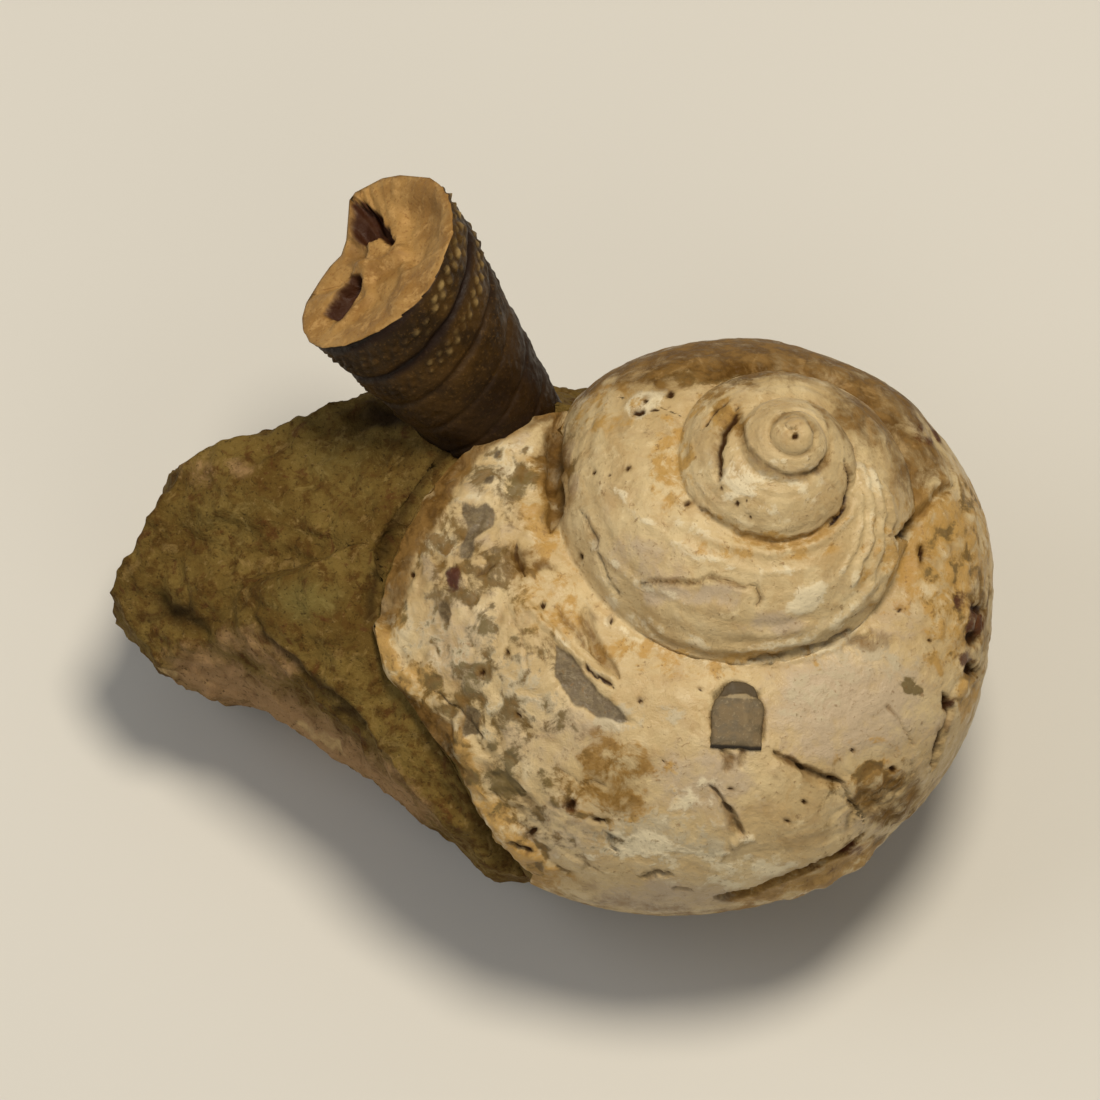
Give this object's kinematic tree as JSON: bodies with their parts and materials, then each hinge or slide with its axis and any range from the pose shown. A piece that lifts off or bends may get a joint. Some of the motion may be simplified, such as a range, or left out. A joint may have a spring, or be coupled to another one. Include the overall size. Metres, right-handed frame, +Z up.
{
  "type": "fossil sea snail shell",
  "caption": "Fossil globose sea snail shell on its olive rock matrix, with the broken end of a smaller beaded turret shell held in the same rock; rests on a flat cut base.",
  "frame": {"origin": "on the flat base of the rock, below the middle of the specimen", "axes": "+Z up out of the base; +X from the rock's free end towards the snail shell; +Y away from the side that the picture shows nearest"},
  "size_m": [0.0739, 0.0555, 0.052],
  "materials": {
    "weathered_shell": "weathered cream and ochre shell with grey stains, part satin and part chalky",
    "siltstone": "rough mottled olive-brown siltstone",
    "dark_shell": "dark brown beaded shell with a tan broken end",
    "grey_stone": "dull grey-brown chip"
  },
  "bodies": {
    "root": {"snail_shell": "weathered_shell", "rock_matrix": "siltstone", "turret_shell": "dark_shell", "stone_chip": "grey_stone"}
  },
  "joints": []
}
